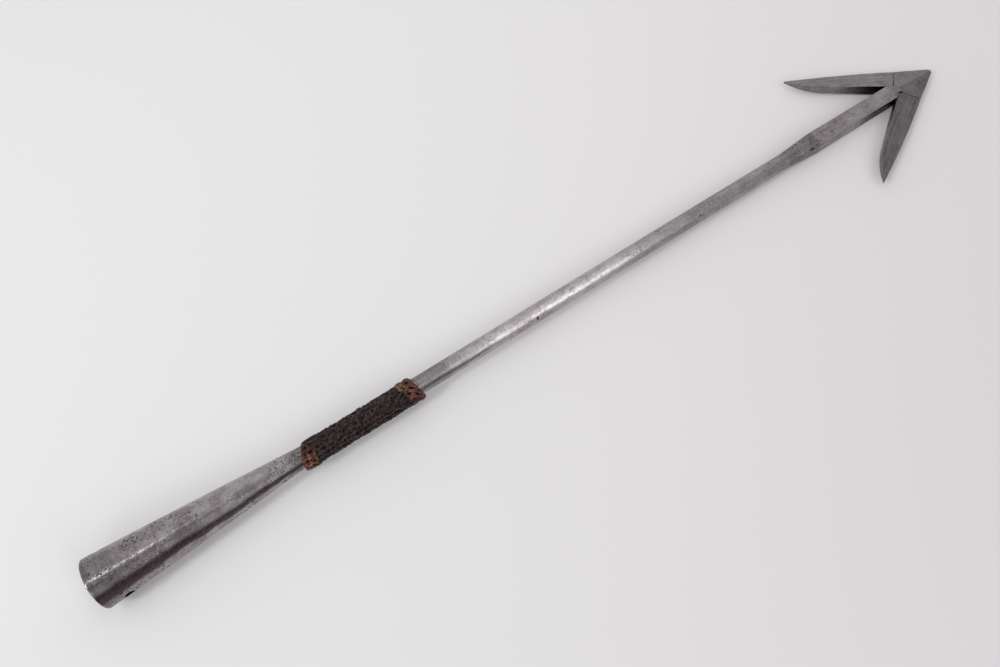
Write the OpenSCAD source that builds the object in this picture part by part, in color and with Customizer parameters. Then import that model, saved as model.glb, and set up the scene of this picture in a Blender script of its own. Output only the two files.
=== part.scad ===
// Hand harpoon with a pole socket, a round shank, a square neck and two hinged barbs.
// The axis of the iron is X, from the centre of the socket mouth to the point.
// The two barbs swing in the XY plane, and Z is up when the iron lies flat.

/* [Overall] */
// Length from the mouth of the socket to the tip of the point
length = 800; // [760:1:900]

/* [Socket] */
// Length of the socket from its mouth to its small end
socket_len = 174; // [160:1:200]
// Outer diameter at the mouth
mouth_d = 41.7; // [38:0.1:48]
// Thickness of the rolled wall
socket_wall = 2.6; // [2:0.1:3.2]
// Thickness left at the small end, where the cone is scarfed down on to the shank
scarf_t = 0.5; // [0.4:0.1:1.2]
// Fullness of the side of the cone, 1 being a straight taper
socket_swell = 1.09; // [1:0.01:1.3]
// Worn chamfer round the edge of the mouth
mouth_chamfer = 0.7; // [0.3:0.1:1]

/* [Nail hole] */
// Diameter of the cross hole that pins the pole
nail_d = 7.4; // [5:0.1:9]
// Distance of the hole from the mouth
nail_x = 18; // [14:0.5:30]
// Roll of the hole about the axis of the iron, in degrees
nail_roll = 6; // [0:1:20]

/* [Shank] */
// Diameter of the round shank, from the socket to where it starts to thin
shank_d = 14.7; // [13.5:0.1:16]
// Diameter of the shank where the flare starts
shank_neck_d = 13.7; // [12.6:0.1:16]
// Length over which the shank thins towards the flare
taper_len = 180; // [120:5:300]
// Length over which the shank is upset from round to square
flare_len = 31; // [20:1:45]
// Length of the square end of the shank, up to the weld with the neck
weld_land = 4; // [2:0.5:8]

/* [Neck] */
// Width and height of the square neck at the weld
neck_weld_w = 14.8; // [13.6:0.1:16]
// Width of the neck at the head
neck_w = 14.2; // [13:0.1:15.4]
// Height of the neck at the head
neck_h = 13.6; // [12.6:0.1:14.6]
// Worn chamfer along the four edges of the neck
neck_chamfer = 1.1; // [0.5:0.1:2]
// Length of neck left between the weld and the tips of the folded barbs
tip_room = 3.4; // [1:0.2:8]

/* [Head] */
// Half angle of the point, seen from above
edge_angle = 29.8; // [28:0.2:32]
// Slope of the facets from the outer edges up to the ridge, in degrees
facet_slope = 15.5; // [14.5:0.1:17]
// Thickness of the outer edges of the head and the barbs
edge_t = 1.4; // [1:0.1:2.4]
// Radius of the blunt tip
nose_r = 3; // [1.5:0.1:4]

/* [Barbs] */
// Distance from the hinge axis to the tip of a barb
barb_reach = 83.2; // [75:0.2:92]
// Angle between the inner face of an open barb and the neck
barb_angle = 35.5; // [34.5:0.5:37]
// Length of the straight inner face, measured from the hinge axis
straight_len = 46; // [40:1:66]
// Distance of the tip outwards from the line through the hinge axis
tip_out = 3.5; // [1:0.1:5]
// Radius of the slightly rounded outer edge
bow_r = 850; // [400:10:1500]

/* [Hinge] */
// Distance of the hinge axis behind the tip of the point
pivot_back = 46; // [44:0.2:49]
// Distance from the hinge axis to the inner face of the barb
barb_back = 5; // [4.4:0.1:5.4]
// Radius of the rounded root of the barb about the hinge axis
root_r = 9; // [8.4:0.1:9.6]
// Direction in which the shoulder faces, in degrees from the axis of the iron
shoulder_angle = 47.3; // [44:0.5:51]
// Diameter of the hinge pin
pin_d = 4; // [3.2:0.1:4.6]
// Radius of the lug on the head that carries the pin
lug_r = 4.5; // [4:0.1:4.8]
// Thickness of the lug
lug_t = 3.2; // [2.4:0.1:4]

/* [Clearances] */
// Gap between the barb and the shoulder of the head
joint_gap = 0.3; // [0.2:0.05:0.5]
// Gap between a folded barb and the side of the neck
fold_gap = 0.4; // [0.3:0.05:0.8]
// Radial running clearance of the pin in the lug
pin_run = 0.05; // [0.02:0.01:0.1]
// Clearance on each side of the lug in the slot of the barb
slot_gap = 0.15; // [0.1:0.05:0.3]
// Clearance round the end of the lug in the slot of the barb
lug_gap = 0.3; // [0.2:0.05:0.5]
// Gap under a bound layer
wrap_gap = 0.08; // [0.05:0.01:0.2]

/* [Binding] */
// Length of the socket's small end that the binding covers
binding_cover = 5.5; // [4:0.5:16]
// Length of the whole binding
binding_len = 102; // [90:1:115]
// Width of the lower collar
lower_collar_w = 14; // [11:0.5:15]
// How far the lower collar stands out beyond the winding
lower_collar_rise = 0.6; // [0:0.1:1.2]
// Width of the upper collar
upper_collar_w = 12.5; // [9:0.5:14]
// Diameter of the cord of the collars
collar_cord_d = 2.4; // [1.8:0.1:2.4]
// Thickness of the canvas under the binding
canvas_t = 0.35; // [0.3:0.05:0.6]
// Diameter of the wound cord
cord_d = 2.4; // [2:0.1:2.8]
// Number of turns of the wound cord
turns = 20; // [14:1:22]
// Radius of the bend where each end of the wound cord turns towards its collar
bend_r = 2.4; // [1.8:0.1:3]

/* [Hidden] */

STEEL = "#8b8789";
DARK_STEEL = "#6f696b";
PIN_STEEL = "#9a9698";
CANVAS = "#241d18";
TARRED_CORD = "#2f2420";
BROWN_CORD = "#7a4322";

$fn = 96;

// Points on each curved stretch of an outline
arc_steps = 10;
// Rings on a turn of the wound cord, and sides of its tube
rings_per_turn = 24;
tube_sides = 6;
bend_rings = 5;

// Socket
mouth_r = mouth_d / 2;
shank_r = shank_d / 2;
socket_tip_r = shank_r + scarf_t;
socket_steps = 14;
function socket_r(x) = socket_tip_r + (mouth_r - socket_tip_r) * (1 - pow(x / socket_len, socket_swell));
// Where the inside of the cone has narrowed down to the end of the shank
shank_start_r = shank_r + socket_wall;
shank_x = socket_len * pow((mouth_r - shank_start_r) / (mouth_r - socket_tip_r), 1 / socket_swell);

// Head and hinge, on the left side of the iron
apex_x = length + nose_r * (1 / sin(edge_angle) - 1);
nose_x = length - nose_r;
pivot = [length - pivot_back, neck_w / 2 + fold_gap + barb_back];
neck_x = pivot.x - barb_reach - tip_room;
flare_x = neck_x - weld_land - flare_len;
taper_x = flare_x - taper_len;
// The blade of the head starts, and the neck ends, a little past the hinge axis
blade_back = 4;
neck_overlap = 2.5;
blade_x = pivot.x + blade_back;
wedge_depth = barb_reach;
wedge_len = 2 * (pivot_back + barb_reach);
wedge_lead = 30;
// Half the thickness of the head and barbs, at a distance inwards from the outer edge
function facet_z(dist) = edge_t / 2 + dist * tan(facet_slope);

// A point of the left barb, measured along its inner face from the hinge axis and outwards from it
function barb_point(along, out) = pivot
    + along * [-cos(barb_angle), sin(barb_angle)]
    + out * [sin(barb_angle), cos(barb_angle)];
shoulder_normal = [cos(shoulder_angle), -sin(shoulder_angle)];
shoulder_line = [sin(shoulder_angle), cos(shoulder_angle)];
// Length of the shoulder from its tangent point on the rounded root to the outer edge
function shoulder_len(r) = let (foot = pivot + r * shoulder_normal)
    ((apex_x - foot.x) * sin(edge_angle) - foot.y * cos(edge_angle)) / cos(shoulder_angle - edge_angle);
// The rounded root, from the shoulder to the inner face
function root_arc(r, back) = let (last = acos(back / r) - 90 - barb_angle)
    [for (i = [0 : arc_steps]) let (a = -shoulder_angle + i / arc_steps * (last + shoulder_angle))
        pivot + r * [cos(a), sin(a)]];
// The belly, an arc that leaves the straight inner face and ends at the tip
belly_run = barb_reach - straight_len;
belly_rise = tip_out + barb_back;
belly_r = (belly_run * belly_run + belly_rise * belly_rise) / (2 * belly_rise);
belly_turn = 2 * atan(belly_rise / belly_run);
function belly_arc() = [for (i = [0 : arc_steps]) let (a = belly_turn * i / arc_steps)
    barb_point(straight_len + belly_r * sin(a), belly_r * (1 - cos(a)) - barb_back)];
// Points between p and q on an arc that bulges to the left of the way from p to q
function bowed(p, q, r) = let (
        d = q - p,
        half = asin(norm(d) / (2 * r)),
        side = [-d.y, d.x] / norm(d),
        centre = (p + q) / 2 - side * r * cos(half))
    [for (i = [1 : arc_steps - 1]) let (a = half * (2 * i / arc_steps - 1))
        centre + r * (side * cos(a) + d / norm(d) * sin(a))];
shoulder_corner = pivot + root_r * shoulder_normal + shoulder_len(root_r) * shoulder_line;
barb_tip = barb_point(barb_reach, tip_out);
// Room that the barb needs beyond its own outer edge when the head is cut back for it
cut_margin = 12;

// Binding
binding_x = socket_len - binding_cover;
canvas_r = shank_r + canvas_t;
canvas_x = socket_len + wrap_gap;
binding_end = binding_x + binding_len;
wind_x0 = binding_x + lower_collar_w;
wind_x1 = binding_end - upper_collar_w;
// The flat sides of the wound tube stay clear of the canvas
wind_r = (canvas_r + wrap_gap + cord_d / 2) / cos(180 / rings_per_turn);
collar_r = wind_r + cord_d / 2;
collar_groove = 0.8;
// The cord's line, unrolled: a straight end, a bend, the turns, a bend and a straight end
helix_run = wind_x1 - wind_x0 - 2 * (cord_d + bend_r);
pitch = helix_run / turns;
lead = atan(pitch / (2 * PI * wind_r));
bend_turn = 90 - lead;
helix_s0 = bend_r * (1 - cos(bend_turn));
helix_x0 = wind_x0 + cord_d + bend_r * sin(bend_turn);
helix_s1 = helix_s0 + 2 * PI * wind_r * turns;
helix_x1 = helix_x0 + helix_run;
helix_rings = rings_per_turn * turns;
// Each entry is [distance round the shank, distance along it, direction in degrees from round]
cord_line = concat(
    [[0, wind_x0, 90], [0, wind_x0 + cord_d, 90]],
    [for (i = [1 : bend_rings - 1]) let (a = bend_turn * i / bend_rings)
        [bend_r * (1 - cos(a)), wind_x0 + cord_d + bend_r * sin(a), 90 - a]],
    [for (i = [0 : helix_rings]) let (t = i / helix_rings)
        [helix_s0 + (helix_s1 - helix_s0) * t, helix_x0 + helix_run * t, lead]],
    [for (i = [1 : bend_rings - 1]) let (a = bend_turn * (1 - i / bend_rings))
        [helix_s1 + bend_r * (cos(a) - cos(bend_turn)),
            helix_x1 + bend_r * (sin(bend_turn) - sin(a)), 90 - a]],
    [[helix_s1 + helix_s0, helix_x1 + bend_r * sin(bend_turn), 90], [helix_s1 + helix_s0, wind_x1, 90]]
);
function cord_ring(e) = let (
        round_by = e[0] / wind_r * 180 / PI,
        outwards = [0, cos(round_by), sin(round_by)],
        around = [0, -sin(round_by), cos(round_by)],
        across = [cos(e[2]), 0, 0] - sin(e[2]) * around)
    [for (k = [0 : tube_sides - 1]) let (a = 360 * (k + 0.5) / tube_sides)
        [e[1], 0, 0] + wind_r * outwards + cord_d / 2 * (cos(a) * outwards + sin(a) * across)];
cord_rings = [for (e = cord_line) cord_ring(e)];
ring_count = len(cord_rings);
// Least distance between points of the tube that lie about one turn apart
least_gap = min([for (i = [0 : ring_count - 1])
    for (j = [i + rings_per_turn - 8 : min(ring_count - 1, i + rings_per_turn + 8)])
        for (p = cord_rings[i]) for (q = cord_rings[j]) norm(p - q)]);
echo(least_gap_between_turns = least_gap);  // binding_winding

// A profile of [radius, distance along the iron] turned about the axis of the iron
module turned() { rotate([0, 90, 0]) rotate_extrude() children(); }

// A square with chamfered corners, standing across the iron
module bar_end(x, w, h) {
    translate([x, 0, 0]) rotate([90, 0, 90]) linear_extrude(0.01) polygon([
        [w / 2 - neck_chamfer, -h / 2], [w / 2, neck_chamfer - h / 2],
        [w / 2, h / 2 - neck_chamfer], [w / 2 - neck_chamfer, h / 2],
        [neck_chamfer - w / 2, h / 2], [-w / 2, h / 2 - neck_chamfer],
        [-w / 2, neck_chamfer - h / 2], [neck_chamfer - w / 2, -h / 2]
    ]);
}

module socket() {
    color(STEEL) difference() {
        turned() polygon(concat(
            [[mouth_r - socket_wall, 0], [mouth_r - mouth_chamfer, 0]],
            [[socket_r(mouth_chamfer), mouth_chamfer]],
            [for (i = [1 : socket_steps]) let (x = socket_len * i / socket_steps) [socket_r(x), x]],
            [[shank_r, socket_len], [shank_r, shank_x]],
            [for (i = [socket_steps - 1 : -1 : 1]) let (x = shank_x * i / socket_steps)
                [socket_r(x) - socket_wall, x]]
        ));
        translate([nail_x, 0, 0]) rotate([nail_roll + 90, 0, 0]) cylinder(d = nail_d, h = 2 * mouth_d, center = true);
    }
}

module shank() {
    color(STEEL) union() {
        turned() polygon([
            [0, shank_x], [shank_r, shank_x], [shank_r, taper_x], [shank_neck_d / 2, flare_x], [0, flare_x]
        ]);
        hull() {
            translate([flare_x, 0, 0]) rotate([0, 90, 0]) cylinder(d = shank_neck_d, h = 0.01, $fn = 48);
            bar_end(neck_x - weld_land, neck_weld_w, neck_weld_w);
            bar_end(neck_x - 0.01, neck_weld_w, neck_weld_w);
        }
    }
}

// The space between the top and bottom facets that share the left outer edge
module facets() {
    rise = facet_z(wedge_depth);
    translate([apex_x, 0, 0]) rotate([90, 0, -90 - edge_angle]) translate([0, 0, -wedge_lead])
        linear_extrude(wedge_len + wedge_lead)
            polygon([[-edge_t / 2 / tan(facet_slope), 0], [wedge_depth, -rise], [wedge_depth, rise]]);
}

module blade_plan() {
    foot = nose_r * [sin(edge_angle), cos(edge_angle)];
    back_y = (apex_x - blade_x) * tan(edge_angle);
    translate([nose_x, 0]) circle(r = nose_r);
    polygon([
        [nose_x + foot.x, foot.y], [blade_x, back_y],
        [blade_x, -back_y], [nose_x + foot.x, -foot.y]
    ]);
}

// What is cut out of the head so that the left barb can stand open
module barb_seat_plan() {
    r = root_r + joint_gap;
    back = barb_back + joint_gap;
    shoulder_end = pivot + r * shoulder_normal + (shoulder_len(r) + cut_margin) * shoulder_line;
    polygon(concat(
        [shoulder_end], root_arc(r, back),
        [barb_point(straight_len, -back), barb_point(straight_len, cut_margin + root_r + barb_back)]
    ));
}

module barb_plan() {
    polygon(concat(
        [shoulder_corner], root_arc(root_r, barb_back), belly_arc(),
        bowed(barb_tip, shoulder_corner, bow_r)
    ));
}

// The lug of the head that reaches back into the left barb
module lug_plan() {
    translate(pivot) circle(r = lug_r);
    translate(pivot) rotate(-shoulder_angle) translate([0, -lug_r]) square([root_r + lug_r, 2 * lug_r]);
}

module lug() {
    difference() {
        translate([0, 0, -lug_t / 2]) linear_extrude(lug_t) lug_plan();
        translate(concat(pivot, 0)) cylinder(r = pin_d / 2 + pin_run, h = 2 * lug_t, center = true);
    }
}

// The slot of the left barb, as wide as the lug needs while the barb folds
module slot() {
    r = lug_r + lug_gap;
    reach = root_r + cut_margin;
    open_way = [cos(shoulder_angle), -sin(shoulder_angle)];
    open_side = [sin(shoulder_angle), cos(shoulder_angle)];
    folded_angle = shoulder_angle + barb_angle;
    folded_way = [cos(folded_angle), -sin(folded_angle)];
    folded_side = -[sin(folded_angle), cos(folded_angle)];
    height = lug_t + 2 * slot_gap;
    translate(concat(pivot, -height / 2)) linear_extrude(height) {
        circle(r = r);
        polygon([
            [0, 0], r * open_side, r * open_side + reach * open_way,
            r * folded_side + reach * folded_way, r * folded_side
        ]);
    }
}

module head_forging() {
    color(DARK_STEEL) union() {
        difference() {
            union() {
                hull() {
                    bar_end(neck_x, neck_weld_w, neck_weld_w);
                    bar_end(blade_x + neck_overlap, neck_w, neck_h);
                }
                intersection() {
                    translate([0, 0, -wedge_depth / 2]) linear_extrude(wedge_depth) blade_plan();
                    facets();
                    mirror([0, 1, 0]) facets();
                }
            }
            for (side = [0, 1]) mirror([0, side, 0])
                translate([0, 0, -wedge_depth / 2]) linear_extrude(wedge_depth) barb_seat_plan();
        }
        for (side = [0, 1]) mirror([0, side, 0]) lug();
    }
}

module barb_left() {
    color(STEEL) difference() {
        intersection() {
            translate([0, 0, -wedge_depth / 2]) linear_extrude(wedge_depth) barb_plan();
            facets();
        }
        slot();
        translate(concat(pivot, 0)) cylinder(d = pin_d, h = wedge_depth, center = true);
    }
}

module barb_right() { mirror([0, 1, 0]) barb_left(); }

module hinge_pin_left() {
    color(PIN_STEEL) intersection() {
        translate(concat(pivot, 0)) cylinder(d = pin_d, h = wedge_depth, center = true);
        facets();
    }
}

module hinge_pin_right() { mirror([0, 1, 0]) hinge_pin_left(); }

module binding_canvas() {
    color(CANVAS) turned()
        translate([shank_r, canvas_x]) square([canvas_t, binding_end - canvas_x]);
}

module binding_winding() {
    color(TARRED_CORD) polyhedron(
        points = [for (ring = cord_rings) each ring],
        faces = concat(
            [[for (k = [0 : tube_sides - 1]) k]],
            [for (i = [0 : ring_count - 2]) for (k = [0 : tube_sides - 1]) let (
                a = i * tube_sides + k,
                b = i * tube_sides + (k + 1) % tube_sides)
                each [[a, a + tube_sides, b], [b, a + tube_sides, b + tube_sides]]],
            [[for (k = [tube_sides - 1 : -1 : 0]) (ring_count - 1) * tube_sides + k]]
        )
    );
}

// Two rows of cord round the iron: a round one at the free side, a flat-faced one against the winding
module collar_profile(inner, outer, w) {
    row_w = w / 2;
    round_r = collar_cord_d / 2;
    hull() {
        translate([inner, round_r]) square([0.01, row_w]);
        translate([outer - round_r, round_r]) circle(r = round_r, $fn = 24);
        translate([outer - round_r, row_w - round_r]) circle(r = round_r, $fn = 24);
        translate([inner, 0]) square(0.01);
    }
    translate([inner, row_w - collar_groove]) square([outer - collar_groove - inner, 2 * collar_groove]);
    translate([inner, row_w + collar_groove / 2]) square([outer - inner, row_w - collar_groove / 2]);
}

module collar_lower() {
    color(BROWN_CORD) difference() {
        turned() translate([0, binding_x]) collar_profile(shank_r, collar_r + lower_collar_rise, lower_collar_w);
        turned() polygon([
            [0, binding_x - 1], [socket_r(binding_x - 1) + wrap_gap, binding_x - 1],
            [socket_tip_r + wrap_gap, socket_len], [socket_tip_r + wrap_gap, wind_x0 + 1], [0, wind_x0 + 1]
        ]);
    }
}

module collar_upper() {
    color(BROWN_CORD) turned()
        translate([0, binding_end]) mirror([0, 1]) collar_profile(canvas_r + wrap_gap, collar_r, upper_collar_w);
}

socket();
shank();
head_forging();
barb_left();
barb_right();
hinge_pin_left();
hinge_pin_right();
binding_canvas();
binding_winding();
collar_lower();
collar_upper();
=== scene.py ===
import math

import bmesh
import bpy
import numpy as np
from mathutils import Matrix, Vector, noise


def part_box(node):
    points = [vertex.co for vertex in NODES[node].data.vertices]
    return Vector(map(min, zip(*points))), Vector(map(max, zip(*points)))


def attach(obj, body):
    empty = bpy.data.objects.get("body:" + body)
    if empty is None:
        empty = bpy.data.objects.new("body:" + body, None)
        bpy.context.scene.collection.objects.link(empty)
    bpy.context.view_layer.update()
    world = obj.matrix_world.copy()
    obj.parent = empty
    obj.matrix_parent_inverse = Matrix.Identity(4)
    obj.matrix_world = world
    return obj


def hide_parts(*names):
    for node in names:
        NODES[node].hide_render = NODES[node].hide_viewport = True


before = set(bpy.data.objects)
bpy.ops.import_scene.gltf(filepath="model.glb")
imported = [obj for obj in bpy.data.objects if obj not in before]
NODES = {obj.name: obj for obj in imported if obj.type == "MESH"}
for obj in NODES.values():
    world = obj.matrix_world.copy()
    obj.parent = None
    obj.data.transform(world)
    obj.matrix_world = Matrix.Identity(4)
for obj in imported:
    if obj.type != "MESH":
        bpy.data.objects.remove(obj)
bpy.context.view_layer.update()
MM = 0.001


# Sizes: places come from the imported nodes, and the rest repeats the source's values

SOCKET_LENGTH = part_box("socket")[1].x
MOUTH_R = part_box("socket")[1].z
SHANK_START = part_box("shank")[0].x
WELD_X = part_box("head_forging")[0].x
WELD_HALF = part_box("shank")[1].z
WINDING_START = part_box("binding_winding")[0].x
LOWER_START, LOWER_END = (corner.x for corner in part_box("collar_lower"))
UPPER_START, UPPER_END = (corner.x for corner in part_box("collar_upper"))
SOCKET_WALL = 2.6 * MM
SOCKET_SWELL = 1.09
SCARF = 0.5 * MM
SHANK_R = 7.35 * MM
SHANK_NECK_R = 6.85 * MM
FLARE_X = WELD_X - 35 * MM
LAND_X = WELD_X - 4 * MM
TAPER_X = FLARE_X - 180 * MM
CANVAS_R = 7.7 * MM
NAIL_R, NAIL_X, NAIL_ROLL = 3.7 * MM, 18 * MM, math.radians(6)

# How far back the socket's rim is rounded, and the radius of the shank's square corners
RIM = 0.9 * MM
WELD_CORNER = 1.7 * MM
# Where the neck runs into the point
POINT_X = 750 * MM
# Where the end of the neck rests on the floor, and how far below the axis
NECK_REST_X, NECK_REST_Z = 757 * MM, -6.85 * MM
# The way to the near side, where the cord is bundled thicker
SAG_Y, SAG_Z = -0.94, -0.34


# Colours

# Black painted shade for the crotch, on the neck's sides and on the barbs' inner sides
CROTCH_PAINTED_SHADE = (0.012, 0.009, 0.009, 1)
# A dark brownish painted reflection, laid along the near flank of the socket and shank
PAINTED_REFLECTION_DARK = (0.062, 0.043, 0.050, 1)
POINT_DARK, POINT_COOL = (0.05, 0.045, 0.046, 1), (0.190, 0.196, 0.192, 1)
# The barbs' own cool and warm tints, the left one painted lighter and the right one darker as
# painted side light
BARB_WARM_SHADED, BARB_COOL_LIT = (0.160, 0.132, 0.140, 1), (0.262, 0.280, 0.270, 1)
BORE_DARK, BORE_RUST = (0.022, 0.017, 0.015, 1), (0.085, 0.045, 0.030, 1)
# Black painted shade for the wall of the cross hole
HOLE_PAINTED_SHADE = (0.004, 0.003, 0.003, 1)
CANVAS_DARK, CANVAS_LIGHT = (0.008, 0.006, 0.005, 1), (0.026, 0.018, 0.015, 1)
FIBRE_DARK, FIBRE_LIGHT = (0.14, 0.040, 0.018, 1), (0.38, 0.155, 0.078, 1)
RED_STRAND, GOLDEN_STRAND = (0.190, 0.062, 0.044, 1), (0.33, 0.185, 0.090, 1)
# Each cord's dark, light and dust
TARRED = (0.009, 0.0052, 0.0052, 1), (0.070, 0.036, 0.035, 1), (0.13, 0.095, 0.09, 1)
BROWN = (0.016, 0.008, 0.006, 1), (0.070, 0.027, 0.016, 1), (0.33, 0.17, 0.085, 1)
RED_BROWN = (0.013, 0.008, 0.008, 1), (0.046, 0.023, 0.019, 1), (0.30, 0.19, 0.11, 1)
# The sheet's colour at its left and right ends, on its far and near sides; it is painted darker to
# the right and on the near side, a painted falloff of light
FLOOR_FAR_PAINTED_FALLOFF = (0.855, 0.85, 0.855, 1), (0.835, 0.812, 0.817, 1)
FLOOR_NEAR_PAINTED_FALLOFF = (0.725, 0.722, 0.728, 1), (0.695, 0.675, 0.680, 1)


# Mesh helpers

def smooth(edge0, edge1, value):
    """0 before edge0, 1 after edge1, and a smooth rise between them."""
    t = min(1.0, max(0.0, (value - edge0) / (edge1 - edge0)))
    return t * t * (3 - 2 * t)


def link(piece):
    bpy.context.scene.collection.objects.link(piece)
    return piece


def shade_smooth(mesh, sharp):
    """Smooth shading, with hard edges where faces meet at more than the sharp angle."""
    mesh.shade_smooth()
    mesh.set_sharp_from_angle(angle=sharp)


def mesh_object(name, verts, faces, uvs=None, sharp=math.radians(50)):
    """A smooth-shaded mesh object. uvs has one (u, v) a vertex."""
    mesh = bpy.data.meshes.new(name)
    mesh.from_pydata([tuple(v) for v in verts], [], faces)
    if uvs is not None:
        layer = mesh.uv_layers.new(name="UVMap")
        loops = np.zeros(len(mesh.loops), dtype=np.int32)
        mesh.loops.foreach_get("vertex_index", loops)
        layer.data.foreach_set("uv", np.asarray(uvs, dtype=np.float32)[loops].ravel())
    mesh.validate()
    shade_smooth(mesh, sharp)
    return link(bpy.data.objects.new(name, mesh))


def ring_faces(rings, sides, closed=False):
    """The quads of a tube of rings that follow each other in the vertex list."""
    faces = []
    for i in range(rings if closed else rings - 1):
        this, after = i * sides, (i + 1) % rings * sides
        for k in range(sides):
            m = (k + 1) % sides
            faces.append((this + k, this + m, after + m, after + k))
    return faces


def end_caps(rings, sides):
    """The two faces that close a tube of rings."""
    last = (rings - 1) * sides
    return [tuple(range(sides - 1, -1, -1)), tuple(last + k for k in range(sides))]


def finish_piece(piece, body, slot, node, *materials):
    """Gives a piece its materials, the body that it rides on and the node that it replaces."""
    piece.data.materials.clear()
    for material in materials:
        piece.data.materials.append(material)
    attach(piece, body)
    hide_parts(node)
    return piece


def evaluated(piece, name, sharp):
    """The mesh that a piece's modifiers make, as an object of its own, without the piece."""
    graph = bpy.context.evaluated_depsgraph_get()
    mesh = bpy.data.meshes.new_from_object(piece.evaluated_get(graph))
    bpy.data.objects.remove(piece)
    mesh.name = name
    shade_smooth(mesh, sharp)
    return link(bpy.data.objects.new(name, mesh))


def welded_copy(node, name):
    """A copy of a CAD node's mesh, closed at its seams."""
    bm = bmesh.new()
    bm.from_mesh(NODES[node].data)
    bmesh.ops.remove_doubles(bm, verts=bm.verts, dist=1e-6)
    mesh = bpy.data.meshes.new(name)
    bm.to_mesh(mesh)
    bm.free()
    return link(bpy.data.objects.new(name, mesh))


def fbm(point, size, octaves, seed):
    """Fractal noise, about -1 to 1, with features of the given size."""
    where = Vector(point) / size + Vector((seed, seed * 0.7, -seed * 1.3))
    return noise.fractal(where, 0.7, 2.1, octaves)


def polar(x, angle, r):
    """A point at x along the iron and r from its axis, at an angle from up to the left barb."""
    return Vector((x, r * math.sin(angle), r * math.cos(angle)))


def circle(sides):
    """The angles of the points of a ring."""
    return [2 * math.pi * k / sides for k in range(sides)]


# Shader helpers

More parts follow.
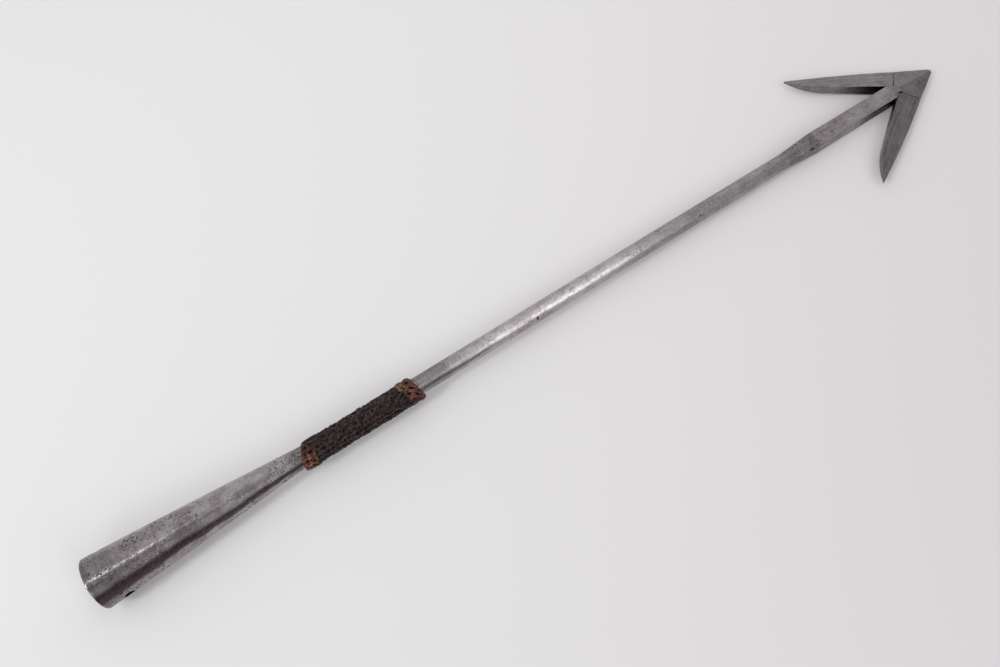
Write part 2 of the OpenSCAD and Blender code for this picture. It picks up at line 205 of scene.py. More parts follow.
class Graph:
    """A material's node tree, written as short calls."""

    def __init__(self, name):
        self.material = bpy.data.materials.new(name)
        self.material.use_nodes = True
        self.tree = self.material.node_tree
        self.tree.nodes.clear()
        output = self.add("ShaderNodeOutputMaterial")
        self.shader = self.add("ShaderNodeBsdfPrincipled")
        self.link(self.shader.outputs[0], output.inputs[0])

    def add(self, kind, **settings):
        node = self.tree.nodes.new(kind)
        for key, value in settings.items():
            setattr(node, key, value)
        return node

    def link(self, source, target):
        self.tree.links.new(source, target)

    def put(self, socket, value):
        """Links a socket, or sets the number or colour on it."""
        if isinstance(value, bpy.types.NodeSocket):
            self.link(value, socket)
        else:
            socket.default_value = value

    def coords(self, scale=(1, 1, 1), kind="Object"):
        mapping = self.add("ShaderNodeMapping")
        mapping.inputs["Scale"].default_value = scale
        self.link(self.add("ShaderNodeTexCoord").outputs[kind], mapping.inputs["Vector"])
        return mapping.outputs[0]

    def lengthwise(self, stretch, lay):
        """Coordinates drawn out by 1 / stretch along a line that lies at an angle to the iron.

        The iron's two sides mirror each other.
        """
        mirrored = self.add("ShaderNodeVectorMath", operation="ABSOLUTE")
        self.link(self.coords(), mirrored.inputs[0])
        turned = self.add("ShaderNodeMapping")
        turned.inputs["Rotation"].default_value = (0, 0, math.radians(lay))
        self.link(mirrored.outputs[0], turned.inputs["Vector"])
        drawn = self.add("ShaderNodeMapping")
        drawn.inputs["Scale"].default_value = (stretch, 1, 1)
        self.link(turned.outputs[0], drawn.inputs["Vector"])
        return drawn.outputs[0]

    def noise(self, vector, scale, detail, roughness, distortion=0.0):
        node = self.add("ShaderNodeTexNoise")
        self.put(node.inputs["Vector"], vector)
        node.inputs["Scale"].default_value = scale
        node.inputs["Detail"].default_value = detail
        node.inputs["Roughness"].default_value = roughness
        node.inputs["Distortion"].default_value = distortion
        return node.outputs["Fac"]

    def math(self, operation, a, b=0.0, clamp=False):
        node = self.add("ShaderNodeMath", operation=operation, use_clamp=clamp)
        self.put(node.inputs[0], a)
        self.put(node.inputs[1], b)
        return node.outputs[0]

    def times(self, *values):
        product = values[0]
        for value in values[1:]:
            product = self.math("MULTIPLY", product, value)
        return product

    def remap(self, value, low, high, to_low=0.0, to_high=1.0):
        """to_low where the value is low, to_high where it is high, and a smooth change between."""
        node = self.add("ShaderNodeMapRange", interpolation_type="SMOOTHSTEP")
        self.put(node.inputs["Value"], value)
        node.inputs["From Min"].default_value = low
        node.inputs["From Max"].default_value = high
        node.inputs["To Min"].default_value = to_low
        node.inputs["To Max"].default_value = to_high
        return node.outputs[0]

    def span(self, value, start, end, fade):
        """1 from start to end, and down to 0 over the fade on both sides, in millimetres."""
        return self.times(self.remap(value, (start - fade) * MM, start * MM),
                          self.remap(value, end * MM, (end + fade) * MM, 1.0, 0.0))

    def mix(self, factor, a, b, blend="MIX"):
        node = self.add("ShaderNodeMix", data_type="RGBA", blend_type=blend)
        self.put(node.inputs["Factor"], factor)
        self.put(node.inputs[6], a)
        self.put(node.inputs[7], b)
        return node.outputs[2]

    def cover(self, base, colour, *masks):
        """The base with a colour over it, as much as the masks multiply to."""
        return self.mix(self.times(*masks), base, colour)

    def axis(self, vector, index):
        node = self.add("ShaderNodeSeparateXYZ")
        self.put(node.inputs[0], vector)
        return node.outputs[index]

    def length(self, vector):
        node = self.add("ShaderNodeVectorMath", operation="LENGTH")
        self.link(vector, node.inputs[0])
        return node.outputs["Value"]

    def facing_up(self):
        """How far the surface faces up or down, 0 on a wall and 1 on a flat."""
        normal = self.add("ShaderNodeTexCoord").outputs["Normal"]
        return self.math("ABSOLUTE", self.axis(normal, 2))

    def spot(self, x, angle, r, length, width, tilt):
        """1 inside a small oval mark on the surface, lying at an angle to the iron's length."""
        centre = polar(x * MM, math.radians(angle), r * MM)
        out = polar(0, math.radians(angle), 1.0)
        along = Matrix.Rotation(math.radians(tilt), 3, out) @ Vector((1, 0, 0))
        turn = Matrix((along, out.cross(along), out)).transposed()
        depth = 3 * MM
        node = self.add("ShaderNodeMapping", vector_type="TEXTURE")
        self.link(self.add("ShaderNodeTexCoord").outputs["Object"], node.inputs["Vector"])
        node.inputs["Location"].default_value = centre
        node.inputs["Rotation"].default_value = turn.to_euler("XYZ")
        node.inputs["Scale"].default_value = (length / 2 * MM, width / 2 * MM, depth)
        return self.remap(self.length(node.outputs[0]), 0.55, 1.15, 1.0, 0.0)

    def bump(self, height, strength, distance, normal=None):
        node = self.add("ShaderNodeBump")
        node.inputs["Strength"].default_value = strength
        node.inputs["Distance"].default_value = distance
        self.put(node.inputs["Height"], height)
        if normal is not None:
            self.link(normal, node.inputs["Normal"])
        return node.outputs[0]


def grey(level, warmth):
    """A grey, redder and less green where warmth is above 0."""
    red, green, blue = 1 + 0.6 * warmth, 1 - 0.6 * warmth, 1 - 0.25 * warmth
    return (level * red, level * green, level * blue, 1.0)


# Materials. The scale of a noise is in features a metre.

def worn_iron(name, light, dark, rough, pits, streaks, grain, patchy=0.7, tint=0.10, lay=0.0,
              brushed=0.0, uneven=1.0, ripple=1.0, zones=(), marks=(), peel=None, shade=None):
    """Bare forged iron: mottled grey, rubbed along its length, with clusters of dark pits.

    light and dark are its greys, and tint makes them warmer. pits, streaks, grain and patchy are
    how strong these are. lay is the angle of the streaks to the iron's length, and brushed spreads
    a highlight round the iron. uneven is how much the roughness differs from fleck to fleck, and
    ripple how wavy the surface is. Lengths are in millimetres.

    Each zone is (from x, to x, fade, tone, extra pits). Each mark is a dark nick: (x, angle,
    distance from the axis, length, width, tilt, depth). peel is (from x, to x, fade, how many
    times stronger the grain is there, low on the near side). shade changes the colour last.
    """
    g = Graph(name)
    place = g.coords()
    x = g.axis(place, 0)
    mottle = g.noise(place, 75, 6, 0.66)
    patches = g.noise(place, 42, 4, 0.55, 0.4)
    flecks = g.noise(place, 470, 4, 0.6)
    streak = g.noise(g.lengthwise(0.05, lay), 480, 4, 0.6)
    scratch = g.noise(g.lengthwise(0.02, lay), 2300, 2, 0.5)
    cluster = g.remap(g.noise(place, 55, 4, 0.62), 0.43, 0.62)

    tone, extra = 1.0, 0.0
    for start, end, fade, level, more in zones:
        inside = g.span(x, start, end, fade)
        tone = g.times(tone, g.remap(inside, 0.0, 1.0, 1.0, level))
        extra = g.math("ADD", extra, g.times(inside, more))

    amount = g.math("ADD", g.remap(cluster, 0.0, 1.0, 0.22 * pits, pits), extra, clamp=True)
    pit = g.times(g.remap(g.noise(place, 560, 2, 0.5), 0.55, 0.63), amount)
    deep_pit = g.times(g.remap(g.noise(place, 270, 3, 0.6), 0.62, 0.69), amount)
    hollow = g.math("MAXIMUM", pit, deep_pit)
    for *oval, depth in marks:
        hollow = g.math("MAXIMUM", hollow, g.times(g.spot(*oval), depth))

    patch_colour, pit_colour = grey(dark * 0.80, tint * 1.9), grey(dark * 0.22, 0.25)
    fleck_colour, streak_colour = grey(light * 1.25, tint * 0.5), grey(light * 1.3, tint * 0.5)
    base = g.mix(g.remap(mottle, 0.34, 0.66), grey(dark, tint * 1.2), grey(light, tint * 0.6))
    base = g.cover(base, patch_colour, g.remap(patches, 0.47, 0.63), patchy)
    base = g.cover(base, fleck_colour, g.remap(flecks, 0.44, 0.66), 0.45)
    base = g.cover(base, streak_colour, g.remap(streak, 0.42, 0.66), streaks * 0.45)
    base = g.cover(base, pit_colour, hollow, 0.88)
    if zones:
        base = g.mix(1.0, base, tone, "MULTIPLY")
    roughness = g.remap(flecks, 0.35, 0.65, rough + 0.10 * uneven, rough - 0.05 * uneven)
    roughness = g.math("ADD", roughness, g.times(hollow, 0.35))
    if shade is not None:
        base, roughness = shade(g, place, base, roughness)
    g.put(g.shader.inputs["Base Color"], base)
    g.put(g.shader.inputs["Roughness"], roughness)
    g.shader.inputs["Metallic"].default_value = 1.0
    if brushed:
        tangent = g.add("ShaderNodeTangent", direction_type="RADIAL", axis="X")
        g.link(tangent.outputs[0], g.shader.inputs["Tangent"])
        g.shader.inputs["Anisotropic"].default_value = brushed

    height = flecks
    if peel is not None:
        *along, stronger = peel
        low = g.remap(g.axis(place, 1), -5 * MM, -9 * MM)
        inside = g.times(g.span(x, *along), low)
        height = g.times(flecks, g.remap(inside, 0.0, 1.0, 1.0, stronger))
    normal = g.bump(g.times(hollow, -1.0), 0.8, 0.16 * MM)
    normal = g.bump(height, 1.0, 0.24 * MM * grain, normal)
    normal = g.bump(streak, 0.6 * streaks, 0.05 * MM, normal)
    normal = g.bump(scratch, 0.5 * streaks, 0.015 * MM, normal)
    normal = g.bump(mottle, 0.5 * ripple, 0.30 * MM, normal)
    g.link(normal, g.shader.inputs["Normal"])
    return g.material


def bore_iron():
    """The dark, dry inside of the socket, with black painted shade in the wall of the cross hole.
    """
    g = Graph("socket_inside")
    place = g.coords()
    rust = g.noise(place, 240, 5, 0.65)
    scale = g.noise(place, 900, 3, 0.6)
    base = g.mix(g.remap(rust, 0.35, 0.68), BORE_DARK, BORE_RUST)
    in_wall = g.remap(g.length(g.coords((0, 1, 1))), 17.1 * MM, 17.4 * MM)
    behind_rim = g.remap(g.axis(place, 0), 12.8 * MM, 13.4 * MM)
    # painted shade: the cross hole's wall inside the socket's thickness is coloured black
    base = g.cover(base, HOLE_PAINTED_SHADE, in_wall, behind_rim)
    g.put(g.shader.inputs["Base Color"], base)
    g.put(g.shader.inputs["Roughness"], g.remap(scale, 0.3, 0.7, 0.75, 0.95))
    g.shader.inputs["Metallic"].default_value = 0.0
    g.shader.inputs["Specular IOR Level"].default_value = 0.15
    normal = g.bump(rust, 0.7, 0.5 * MM)
    g.link(g.bump(scale, 0.5, 0.15 * MM, normal), g.shader.inputs["Normal"])
    return g.material


def cord_material(name, colours, dust_amount, patch=None):
    """Old cord: fibres along the strands, worn places, and painted shade that darkens it low on its
    sides and underneath.

    colours are its dark, light and dust, and patch changes the colour in places. The UVs run in
    metres along the cord, and from 0 under it to 1 on its top.
    """
    dark, light, dust = colours
    g = Graph(name)
    place = g.coords()
    fibre = g.noise(g.coords((260, 7, 1), "UV"), 1.0, 4, 0.65)
    wear = g.noise(place, 300, 4, 0.62)
    spots = g.noise(place, 900, 3, 0.6)
    base = g.mix(g.remap(wear, 0.40, 0.62), dark, light)
    if patch is not None:
        base = patch(g, place, base)
    base = g.cover(base, dark, g.remap(fibre, 0.35, 0.62, 1.0, 0.0), 0.6)
    # painted shade: darker the lower it lies on the cord's sides and underneath
    base = g.cover(base, dark, g.remap(g.axis(g.coords(kind="UV"), 1), 0.92, 0.55, 0.0, 0.85))
    base = g.cover(base, dust, g.remap(spots, 0.56, 0.72), dust_amount)
    g.put(g.shader.inputs["Base Color"], base)
    g.put(g.shader.inputs["Roughness"], g.remap(wear, 0.3, 0.7, 0.75, 0.5))
    g.shader.inputs["Specular IOR Level"].default_value = 0.28
    normal = g.bump(wear, 1.0, 1.2 * MM)
    normal = g.bump(fibre, 0.8, 0.16 * MM, normal)
    g.link(g.bump(spots, 0.8, 0.25 * MM, normal), g.shader.inputs["Normal"])
    return g.material


def canvas_material():
    """Tarred canvas, seen in the gaps between the cords."""
    g = Graph("tarred_canvas")
    stain = g.noise(g.coords(), 300, 4, 0.6)
    weave = g.add("ShaderNodeTexChecker")
    weave.inputs["Scale"].default_value = 1.0
    g.link(g.coords((900, 900, 1), "UV"), weave.inputs["Vector"])
    g.put(g.shader.inputs["Base Color"], g.mix(stain, CANVAS_DARK, CANVAS_LIGHT))
    g.shader.inputs["Roughness"].default_value = 0.88
    g.shader.inputs["Specular IOR Level"].default_value = 0.2
    g.link(g.bump(weave.outputs["Fac"], 0.4, 0.1 * MM), g.shader.inputs["Normal"])
    return g.material


def lower_patches(g, place, base):
    """Bare orange-brown fibre on the near side of the lower collar, dark tar on the rest."""
    near = g.remap(g.axis(place, 1), 1 * MM, -8 * MM)
    low = g.remap(g.axis(place, 0), LOWER_END + 3 * MM, LOWER_START + 2 * MM, 0.25, 1.0)
    blotch = g.remap(g.noise(place, 210, 3, 0.6), 0.36, 0.62, 0.15, 1.0)
    fibre = g.mix(g.remap(g.noise(place, 420, 2, 0.5), 0.40, 0.60), FIBRE_DARK, FIBRE_LIGHT)
    return g.cover(base, fibre, near, low, blotch)


def upper_patches(g, place, base):
    """A golden patch at the far corner of the upper collar, and red-brown rubbed strands."""
    x, y = g.axis(place, 0), g.axis(place, 1)
    far = g.remap(y, -4 * MM, 4 * MM)
    first = g.remap(x, UPPER_START + 10 * MM, UPPER_START + 3 * MM)
    golden = g.times(far, first, g.remap(g.noise(place, 300, 2, 0.5), 0.34, 0.54))
    last = g.remap(x, UPPER_START - 1 * MM, UPPER_START + 7 * MM)
    blotch = g.remap(g.noise(place, 190, 3, 0.6), 0.40, 0.60)
    return g.cover(g.cover(base, RED_STRAND, blotch, last), GOLDEN_STRAND, golden, 0.8)


def painted_flank_reflection(start, end, at_start, at_end):
    """A shade that paints a dark reflection: a brownish strip along the near flank of the iron.

    Its strength goes from at_start at x = start to at_end at x = end, in millimetres. The strip
    is broader at the mouth.
    """
    def shade(g, place, base, roughness):
        x = g.axis(place, 0)
        around = g.math("ARCTAN2", g.times(g.axis(place, 1), -1.0), g.axis(place, 2))
        around = g.math("ADD", around, g.remap(g.noise(place, 45, 2, 0.5), 0.3, 0.7, -0.07, 0.07))
        wider = g.remap(x, 75 * MM, 20 * MM, 0.0, math.radians(6))
        strip = g.times(
            g.remap(around, math.radians(38), math.radians(50)),
            g.remap(g.math("SUBTRACT", around, wider), math.radians(72), math.radians(62)),
            g.remap(g.noise(place, 300, 3, 0.6), 0.30, 0.50, 0.80, 1.0))
        strength = g.remap(x, start * MM, end * MM, at_start, at_end)
        # painted reflection: the strip darkens the near flank in the band where a dark room would
        # be reflected
        return g.cover(base, PAINTED_REFLECTION_DARK, strip, strength), roughness
    return shade


def head_shade(g, place, base, roughness):
    """Black painted shade in the crotch on both sides of the neck, a darker point and pale rubbed
    edges.
    """
    up = g.facing_up()
    x, y = g.axis(place, 0), g.axis(place, 1)
    point = g.remap(x, POINT_X, POINT_X + 7 * MM)
    left = g.remap(y, -0.3 * MM, 0.3 * MM)
    base = g.cover(base, POINT_DARK, point, 0.26)
    base = g.cover(base, POINT_COOL, point, left, 0.30)
    on_neck = g.remap(x, POINT_X + 8 * MM, POINT_X)
    edge = g.times(g.remap(up, 0.25, 0.45), g.remap(up, 0.94, 0.86), on_neck)
    base = g.cover(base, grey(0.40, 0.06), edge, 0.5)
    roughness = g.math("ADD", roughness, g.times(edge, 0.25))
    # painted shade: the neck's sides turn black towards the crotch between the barbs
    crotch = g.remap(x, POINT_X - 46 * MM, POINT_X - 20 * MM)
    return g.cover(base, CROTCH_PAINTED_SHADE, g.remap(up, 0.62, 0.3), crotch, 0.94), roughness


def barb_shade(g, place, base, roughness):
    """A cooler left barb painted lighter and a warmer right one painted darker, as painted side
    light, with black painted shade on the inner side near the hinge.
    """
    y = g.axis(place, 1)
    # painted side light: the left barb lighter and the right darker, each with its own cool or warm
    # tint
    base = g.mix(0.30, base, g.mix(g.remap(y, -5 * MM, 5 * MM), BARB_WARM_SHADED, BARB_COOL_LIT))
    # painted shade: black on the inner sides, strongest near the hinge
    side = g.remap(g.facing_up(), 0.45, 0.2)
    inner = g.remap(g.math("ABSOLUTE", y), 32 * MM, 14 * MM, 0.0, 0.92)
    return g.cover(base, CROTCH_PAINTED_SHADE, side, inner), roughness


# Iron pieces

def socket_r(x):
    """The outer radius of the socket at x."""
    tip = SHANK_R + SCARF
    return tip + (MOUTH_R - tip) * (1 - (max(0.0, x) / SOCKET_LENGTH) ** SOCKET_SWELL)


def socket_profile():
    """Round the rim from its inner edge, along the outside, and back along the inside."""
    lip_steps, outside_steps, inside_steps, seam = 6, 150, 60, 0.02 * MM
    middle = socket_r(0) - SOCKET_WALL / 2
    profile = []
    for i in range(lip_steps + 1):
        a = math.pi * (1 - i / lip_steps)
        profile.append((RIM * (1 - math.sin(a)), middle + SOCKET_WALL / 2 * math.cos(a)))
    for i in range(1, outside_steps + 1):
        x = RIM + (SOCKET_LENGTH - RIM) * i / outside_steps
        profile.append((x, socket_r(x)))
    profile.append((SOCKET_LENGTH, SHANK_R + seam))
    profile.append((SHANK_START, SHANK_R - seam))
    for i in range(1, inside_steps):
        x = SHANK_START + (RIM - SHANK_START) * i / inside_steps
        profile.append((x, socket_r(x) - SOCKET_WALL))
    return profile


def make_socket(outside, inside):
    """The forged cone, a little uneven, with a worn mouth and its cross hole."""
    sides = 192
    profile = socket_profile()
    verts = []
    for x, r in profile:
        worked = 0.4 + 0.6 * smooth(0, 6 * MM, x)
        for a in circle(sides):
            point = polar(x, a, r)
            dent = 0.12 * fbm(point, 34 * MM, 2, 3.1) + 0.05 * fbm(point, 6 * MM, 3, 9.7) - 0.06
            lip = 0.14 * fbm((0, point.y, point.z), 9 * MM, 2, 5.3) if x < RIM else 0.0
            verts.append(polar(max(0.0, x + lip * MM), a, r + min(0.0, dent) * MM * worked))
    piece = mesh_object("socket_forged", verts, ring_faces(len(profile), sides, closed=True))
    cutter, turn = nail_cutter()
    cut = piece.modifiers.new("hole", "BOOLEAN")
    cut.operation = "DIFFERENCE"
    cut.solver = "EXACT"
    cut.object = cutter
    made = evaluated(piece, "socket_forged", math.radians(38))
    bpy.data.objects.remove(cutter)
    finish_piece(made, "iron", "socket_iron", "socket", outside, inside)
    back = turn.inverted()
    for face in made.data.polygons:
        x = face.center.x
        inward = socket_r(x) - math.hypot(face.center.y, face.center.z)
        hole = back @ face.center
        in_hole = math.hypot(hole.x, hole.y) < NAIL_R + 0.55 * MM and inward > 0.1 * MM
        in_bore = inward > 0.7 * SOCKET_WALL and 0.6 * MM < x < SHANK_START + MM
        face.material_index = 1 if in_hole or in_bore else 0


def nail_cutter():
    """The drilled cross hole, with a small worn countersink at each end, and its turn."""
    sides, surface, beyond = 48, socket_r(NAIL_X), 26 * MM
    half = [(surface - 0.45 * MM, NAIL_R), (surface + 0.25 * MM, NAIL_R + 0.6 * MM),
            (beyond, NAIL_R + 1.8 * MM)]
    profile = [(-z, r) for z, r in reversed(half)] + half
    turn = (Matrix.Translation((NAIL_X, 0, 0))
            @ Matrix.Rotation(NAIL_ROLL + math.pi / 2, 4, "X"))
    verts = []
    for z, r in profile:
        for a in circle(sides):
            verts.append(turn @ Vector((r * math.cos(a), r * math.sin(a), z)))
    faces = ring_faces(len(profile), sides) + end_caps(len(profile), sides)
    return mesh_object("nail_cutter", verts, faces), turn


def rounded_square(half, corner, angle):
    """Distance from the centre of a square with rounded corners to its edge, at that angle."""
    a = angle % (math.pi / 2)
    a = min(a, math.pi / 2 - a)
    flat = half - corner
    if math.tan(a) * half <= flat:
        return half / math.cos(a)
    k = flat * (math.cos(a) + math.sin(a))
    return k + math.sqrt(k * k - (2 * flat * flat - corner * corner))


def make_shank(material):
    """The round bar, thinned towards the head and upset to a square at the weld."""
    sides, coarse, fine = 96, 2.0 * MM, 0.7 * MM
    stations = [SHANK_START]
    while stations[-1] < WELD_X - MM:
        stations.append(stations[-1] + (fine if stations[-1] > FLARE_X - 4 * MM else coarse))
    stations[-1] = WELD_X
    verts = []
    for x in stations:
        round_r = SHANK_R + (SHANK_NECK_R - SHANK_R) * smooth(TAPER_X - 40 * MM, FLARE_X, x)
        square = min(1.0, max(0.0, (x - FLARE_X) / (LAND_X - FLARE_X)))
        # the surface is plain inside the socket and where it meets the neck
        shown = (smooth(SOCKET_LENGTH - 5 * MM, SOCKET_LENGTH + 5 * MM, x)
                 * smooth(WELD_X + 0.01 * MM, WELD_X - 2 * MM, x))
        for a in circle(sides):
            r = (1 - square) * round_r + square * rounded_square(WELD_HALF, WELD_CORNER, a)
            point = polar(x, a, r)
            wave = 0.10 * fbm(point, 60 * MM, 2, 1.7) + 0.04 * fbm(point, 6 * MM, 2, 4.4) - 0.06
            grain = min(0.0, fbm((x * 0.35, point.y, point.z), 2.6 * MM, 3, 8.8))
            scale = 0.22 * grain * smooth(0.0, 0.6, square)
            verts.append(polar(x, a, r + (wave + scale) * MM * shown))
    faces = ring_faces(len(stations), sides) + end_caps(len(stations), sides)
    piece = mesh_object("shank_forged", verts, faces, sharp=math.radians(30))
    finish_piece(piece, "iron", "shank_iron", "shank", material)


def forged_copy(node, name, voxel, seed):
    """A CAD node's shape, its edges worn round and its faces a little uneven from the hammer."""
    faces_kept, soften_steps = 0.30, 4
    piece = welded_copy(node, name + "_raw")
    remesh = piece.modifiers.new("remesh", "REMESH")
    remesh.mode = "VOXEL"
    remesh.voxel_size = voxel
    soften = piece.modifiers.new("soften", "SMOOTH")
    soften.factor = 0.5
    soften.iterations = soften_steps
    made = evaluated(piece, name + "_worn", math.pi)
    normals = [v.normal.copy() for v in made.data.vertices]
    for vertex, normal in zip(made.data.vertices, normals):
        broad = min(0.0, 0.10 * fbm(vertex.co, 16 * MM, 2, seed) - 0.03)
        fine = 0.02 * fbm(vertex.co, 3.0 * MM, 2, seed + 5) - 0.02
        chips = -0.30 * max(0.0, fbm(vertex.co, 5.5 * MM, 2, seed + 11) - 0.5)
        vertex.co += normal * (broad + fine + chips) * MM
    made.data.update()
    reduce = made.modifiers.new("reduce", "DECIMATE")
    reduce.ratio = faces_kept
    return evaluated(made, name, math.radians(40))


# Cord work

def tube(name, path, width, height, lay, sides, ridge, lumps, closed=False):
    """A cord along a path of (point, outward normal), of three strands that twist along it.

    Its section is an oval. lay is the length of a twist, and ridge how far the strands stand out.
    lumps is how far tar and loose fibre swell or narrow it here and there.
    """
    strands, lump_size = 3, 1.7 * MM
    # keeps the cord about as thick as it is said to be, whatever its ridges
    full = 1.6
    points = np.array([p for p, _ in path])
    out = np.array([n for _, n in path])
    if closed:
        step = (np.roll(points, -1, 0) - np.roll(points, 1, 0)) / 2
    else:
        step = np.gradient(points, axis=0)
    tangent = step / np.linalg.norm(step, axis=1)[:, None]
    normal = out - (out * tangent).sum(1)[:, None] * tangent
    normal /= np.linalg.norm(normal, axis=1)[:, None]
    side = np.cross(tangent, normal)
    gaps = np.linalg.norm(np.diff(points, axis=0, append=points[:1]), axis=1)
    length = np.concatenate([[0], np.cumsum(gaps)[:-1]])
    total = length[-1] + (gaps[-1] if closed else 0)
    turns = max(1, round(total / lay))
    verts, uvs = [], []
    for i in range(len(points)):
        twist = 2 * math.pi * turns * length[i] / total
        for a in circle(sides):
            swell = 1 - ridge + ridge * abs(math.cos(strands / 2 * (a - twist))) * full
            offset = normal[i] * height / 2 * math.cos(a) + side[i] * width / 2 * math.sin(a)
            knob = 2 * lumps / height * noise.noise(Vector(points[i] + offset) / lump_size)
            verts.append(points[i] + (swell + knob) * offset)
            uvs.append((length[i], 0.5 + 0.5 * math.cos(a)))
    faces = ring_faces(len(points), sides, closed)
    if not closed:
        faces += end_caps(len(points), sides)
    return mesh_object(name, verts, faces, uvs, sharp=math.radians(70))


def on_shank(x, angle, r, sag=0.0):
    """A point round the shank, at an angle from the left barb's side to up, and the way out there.

    sag moves it off centre, towards the near side, where the cord is bundled thicker.
    """
    out = np.array([0.0, math.cos(angle), math.sin(angle)])
    return np.array([x, SAG_Y * sag, SAG_Z * sag]) + r * out, out


def turks_head(name, start, end, slant, bights, r_mid, wave, width, height, seed, sag):
    """A closed plaited knot round the shank, from start to end, of one cord that goes round thrice.

    Both its edges lie later by the slant on the left barb's side, and earlier on the other side.
    """
    leads, steps, lay = 3, 40, 7.5 * MM
    path = []
    for i in range(bights * steps):
        u = i / (bights * steps)
        psi = 2 * math.pi * bights * u
        angle = 2 * math.pi * leads * u
        where = (math.cos(angle) * 2.4 + seed, math.sin(angle) * 2.4, 0.35 * math.sin(psi / 3))
        uneven = noise.noise(Vector(where))
        shift = 0.10 * noise.noise(Vector((u * bights * 1.3, seed, 2.2)))
        low = start + width / 2 + slant * math.cos(angle)
        high = end - width / 2 + slant * math.cos(angle)
        x = (low + high) / 2 + (high - low) / 2 * math.sin(psi) + 0.6 * MM * uneven
        r = r_mid + wave * math.sin(2 * psi) + 0.4 * MM * uneven
        path.append(on_shank(x, angle + shift, r, sag))
    return tube(name, path, width, height, lay, sides=12, ridge=0.16, lumps=0.35 * MM,
                closed=True)


def hitching(name, start, pitch, rows, per_row, cord, r_mid, wave, loose, sag,
             slant=0.0, begin=0.0, turn=1):
    """Needle hitching: one cord that winds round the shank and loops over the row before.

    cord is its width and height, wave how far each stitch rises and falls, and loose how far it
    wanders. begin is the angle where it starts, and turn is 1 or -1 for the way it winds. Each
    row lies later by the slant on the left barb's side.
    """
    steps, lay, cell = 15, 6 * MM, 2 * math.pi / per_row
    # how far a stitch leans, reaches into the row before and drifts round, and how late it rises
    lean, reach, drift, late = 0.42, 0.62, 0.13, 0.35
    path = []
    for i in range(rows * per_row * steps + 1):
        u = i / steps
        psi = 2 * math.pi * u
        row = u / per_row
        where = Vector((row * 1.3, math.cos(cell * u) * 3.4, math.sin(cell * u) * 3.4))
        wobble = noise.noise(where * 1.9)
        lump = noise.noise(where * 0.9 + Vector((4, 4, 4)))
        tight = 1 + 0.5 * noise.noise(where * 2.6 + Vector((9, 1, 5)))
        stitch = cell * (u - lean * tight * math.sin(psi))
        angle = begin + turn * (stitch + drift * loose * wobble / MM)
        loop = reach * tight * pitch * math.cos(psi)
        x = start + pitch * row + loop + loose * wobble + slant * math.cos(angle)
        r = r_mid + 0.6 * MM * lump + wave * math.sin(psi + late)
        path.append(on_shank(x, angle, r, sag))
    return tube(name, path, *cord, lay, sides=8, ridge=0.10, lumps=0.40 * MM)


def make_canvas(material):
    """The parcelling under the cord, a sleeve a little lumpy along its length."""
    x0, x1 = SOCKET_LENGTH + 0.1 * MM, UPPER_END - 1.2 * MM
    rings, sides, uv_r = 110, 72, 8 * MM
    thicker, lumps, clear = 0.45 * MM, 0.22 * MM, 0.03 * MM
    verts, uvs = [], []
    for i in range(rings):
        x = x0 + (x1 - x0) * i / (rings - 1)
        tucked = 0.5 * MM * smooth(x1 - 3 * MM, x1, x)
        for a in circle(sides):
            _, out = on_shank(x, a, 1.0)
            lump = noise.noise(Vector((x * 400, out[1] * 2.5, out[2] * 2.5)))
            verts.append(on_shank(x, a, CANVAS_R + thicker + lumps * lump - tucked)[0])
            uvs.append((x, uv_r * a))
    for x in (x1, x0):
        for a in circle(sides):
            verts.append(on_shank(x, a, SHANK_R + clear)[0])
            uvs.append((x, 0.0))
    faces = [face[::-1] for face in ring_faces(rings + 2, sides, closed=True)]
    piece = mesh_object("parcelling", verts, faces, uvs)
    finish_piece(piece, "iron", "tarred_canvas", "binding_canvas", material)


# Build

socket_iron = worn_iron(
    "socket_iron", light=0.38, dark=0.21, rough=0.20, pits=1.0, streaks=0.5, grain=0.05,
    tint=0.09, uneven=0.3, ripple=0.3, peel=(8, 66, 25, 13.0),
    zones=((-5, 12, 40, 0.72, 0.0), (-5, 3, 4, 0.85, 0.0), (169, 180, 16, 0.60, 0.1)),
    marks=((150, -26, 9.5, 5.0, 0.9, 62, 1), (154, -18, 9.2, 3.4, 0.8, 40, 1),
           (161, -8, 8.7, 5.0, 0.9, 58, 1), (41, 20, 18, 2.2, 1.6, 0, 1)),
    shade=painted_flank_reflection(0, 180, 0.97, 0.93))
shank_iron = worn_iron(
    "shank_iron", light=0.42, dark=0.28, rough=0.33, pits=0.40, streaks=0.8, grain=0.07,
    patchy=0.35, tint=0.07, brushed=0.7, uneven=0.3, ripple=0.3,
    # The first zone is a painted highlight: it lightens the iron where the soft box's highlight
    # falls
    zones=((350, 440, 60, 1.10, 0.0), (520, 640, 90, 0.86, 0.1), (646, 668, 28, 0.64, 0.15),
           (268, 290, 22, 0.72, 0.1)),
    marks=((380.3, -54, 7.3, 3.6, 2.4, 65, 1.12), (542, -41, 7.1, 3.2, 1.5, 0, 1),
           (658.5, -49, 10.2, 6.4, 3.2, 4, 1.12)),
    shade=painted_flank_reflection(312, 358, 0.62, 0.08))
head_iron = worn_iron(
    "head_iron", light=0.32, dark=0.20, rough=0.38, pits=0.40, streaks=0.6, grain=0.3,
    patchy=0.35, shade=head_shade)
barb_iron = worn_iron(
    "barb_iron", light=0.265, dark=0.13, rough=0.38, pits=0.40, streaks=1.3, grain=0.3,
    patchy=0.45, lay=30, shade=barb_shade)
pin_iron = worn_iron(
    "pin_iron", light=0.30, dark=0.20, rough=0.36, pits=0.3, streaks=0.1, grain=0.3)

make_socket(socket_iron, bore_iron())
make_shank(shank_iron)

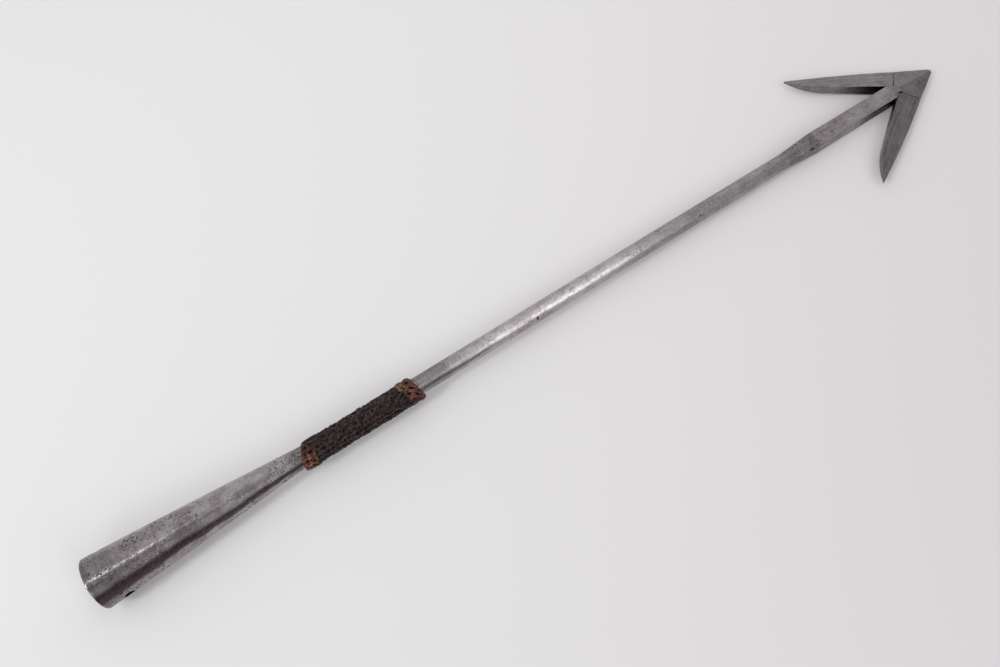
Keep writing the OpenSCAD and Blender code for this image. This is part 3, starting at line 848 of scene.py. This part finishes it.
head = forged_copy("head_forging", "head_forged", 0.32 * MM, 1.0)
finish_piece(head, "iron", "head_iron", "head_forging", head_iron)
for side, seed in (("left", 2.0), ("right", 6.0)):
    barb = forged_copy("barb_" + side, "barb_forged_" + side, 0.26 * MM, seed)
    finish_piece(barb, side + "_barb", "barb_iron", "barb_" + side, barb_iron)
    pin = NODES["hinge_pin_" + side]
    pin.data.materials.clear()
    pin.data.materials.append(pin_iron)

make_canvas(canvas_material())

winding = hitching(
    "needle_hitching", WINDING_START - 2.0 * MM, pitch=3.6 * MM, rows=22, per_row=16,
    cord=(2.1 * MM, 1.7 * MM), r_mid=8.8 * MM, wave=0.62 * MM, loose=1.6 * MM, sag=0.9 * MM)
finish_piece(winding, "iron", "tarred_cord", "binding_winding",
             cord_material("tarred_cord", TARRED, 0.16))
lower = hitching(
    "collar_lower_hitching", LOWER_START + 4.5 * MM, pitch=4.3 * MM, rows=2, per_row=12,
    cord=(2.9 * MM, 2.4 * MM), r_mid=9.4 * MM, wave=0.80 * MM, loose=0.9 * MM, sag=0.9 * MM,
    slant=2.6 * MM, begin=-math.pi / 2, turn=-1)
finish_piece(lower, "iron", "brown_cord", "collar_lower",
             cord_material("brown_cord", BROWN, 0.25, lower_patches))
upper = turks_head(
    "collar_upper_plait", UPPER_START - 0.4 * MM, UPPER_END + 0.4 * MM, slant=-2.4 * MM,
    bights=10, r_mid=9.1 * MM, wave=0.70 * MM, width=3.3 * MM, height=2.2 * MM, seed=8.0,
    sag=0.5 * MM)
finish_piece(upper, "iron", "red_brown_cord", "collar_upper",
             cord_material("red_brown_cord", RED_BROWN, 0.2, upper_patches))


# Floor, light and camera

# Each lamp's name, place, target, the direction of its first side, the size of both and its power
LAMPS = (
    ("overhead", (-0.34, 0.025, 1.30), (-0.34, 0.025, 0), (1, -0.37, 0), 0.36, 0.15, 0.85),
    ("far_lamp", (-1.80, -0.10, 1.90), (0.3, 0, 0), (0, 1, 0), 0.60, 0.70, 20.0),
    ("soft_box", (0.98, -1.60, 1.78), (0.42, 0, 0), (1, 0, 0), 0.70, 1.90, 11.6),
    ("roof", (1.02, 0.10, 2.40), (0.42, 0, 0), (1, 0, 0), 0.56, 2.40, 4.0),
    ("fill", (-1.00, -1.00, 1.00), (0.2, 0, 0), (0, 0, 1), 0.8, 0.8, 2.5),
)
# The room's brightness against a direction's Y, from the near side's horizon to the far side's
ROOM = ((-0.95, 0.40), (-0.75, 0.53), (-0.60, 0.56), (-0.41, 0.35), (-0.04, 0.47),
        (0.36, 0.80), (0.80, 0.76))
ROOM_TINT = (1, 0.985, 0.99)


def floor():
    """A big pale sheet, under the rim of the socket and the end of the neck, its colour painted
    darker to the right and on the near side as a falloff of light.
    """
    half, clear, picture_turn = 6.0, 0.02 * MM, math.radians(32.7)
    rim_z = -MOUTH_R
    slope = (NECK_REST_Z - rim_z) / NECK_REST_X
    verts = [(x, y, rim_z + slope * x - clear) for x in (-half, half) for y in (-half, half)]
    piece = mesh_object("floor_sheet", verts, [(0, 2, 3, 1)])
    g = Graph("sheet")
    turned = g.coords()
    turned.node.inputs["Rotation"].default_value = (0, 0, picture_turn)
    rightwards = g.remap(g.axis(turned, 0), 0.15, 0.75)
    away = g.remap(g.axis(g.coords(), 1), -0.45, 0.55)
    # painted light: the sheet's colour falls off to the right and towards the near side
    colour = g.mix(away, g.mix(rightwards, *FLOOR_NEAR_PAINTED_FALLOFF), g.mix(rightwards, *FLOOR_FAR_PAINTED_FALLOFF))
    g.put(g.shader.inputs["Base Color"], colour)
    g.shader.inputs["Roughness"].default_value = 0.9
    g.shader.inputs["Specular IOR Level"].default_value = 0.2
    piece.data.materials.append(g.material)


def area_light(name, position, target, along, size_x, size_y, power):
    """A soft lamp that faces the target, with its first side along the given direction."""
    data = bpy.data.lights.new(name, "AREA")
    data.shape = "RECTANGLE"
    data.size, data.size_y = size_x, size_y
    data.energy = power
    back = (Vector(position) - Vector(target)).normalized()
    right = (Vector(along) - back * back.dot(Vector(along))).normalized()
    turn = Matrix((right, back.cross(right), back)).transposed().to_4x4()
    lamp = link(bpy.data.objects.new(name, data))
    lamp.matrix_world = Matrix.Translation(position) @ turn


def studio():
    """Room light, brighter on the far side, with soft lamps over both ends of the iron."""
    world = bpy.data.worlds.new("studio")
    bpy.context.scene.world = world
    world.use_nodes = True
    tree = world.node_tree
    background = tree.nodes["Background"]
    direction = tree.nodes.new("ShaderNodeTexCoord").outputs["Generated"]
    split = tree.nodes.new("ShaderNodeSeparateXYZ")
    tree.links.new(direction, split.inputs[0])
    # from a Y of -1 to 1 to the ramp's 0 to 1
    half = tree.nodes.new("ShaderNodeMath")
    half.operation = "MULTIPLY_ADD"
    half.inputs[1].default_value = half.inputs[2].default_value = 0.5
    tree.links.new(split.outputs["Y"], half.inputs[0])
    ramp = tree.nodes.new("ShaderNodeValToRGB")
    ramp.color_ramp.interpolation = "EASE"
    tree.links.new(half.outputs[0], ramp.inputs[0])
    while len(ramp.color_ramp.elements) < len(ROOM):
        ramp.color_ramp.elements.new(0.5)
    for element, (y, level) in zip(ramp.color_ramp.elements, ROOM):
        element.position = y / 2 + 0.5
        element.color = [level * part for part in ROOM_TINT] + [1]
    tree.links.new(ramp.outputs[0], background.inputs["Color"])
    background.inputs["Strength"].default_value = 1.0
    for lamp in LAMPS:
        area_light(*lamp)


def camera():
    """The photograph's view, solved from the picture."""
    position = Vector((235.46, -235.96, 621.18)) * MM
    right = Vector((0.8399, -0.5402, -0.0527)).normalized()
    back = Vector((-0.1684, -0.3518, 0.9208)).normalized()
    data = bpy.data.cameras.new("camera")
    data.sensor_fit = "HORIZONTAL"
    data.sensor_width = 36.0
    data.lens = 30.6
    data.clip_start, data.clip_end = 0.01, 50
    up = back.cross(right).normalized()
    turn = Matrix((up.cross(back), up, back)).transposed().to_4x4()
    shot = link(bpy.data.objects.new("camera", data))
    shot.matrix_world = Matrix.Translation(position) @ turn
    bpy.context.scene.camera = shot


floor()
studio()
camera()
bpy.context.scene.view_settings.view_transform = "Standard"
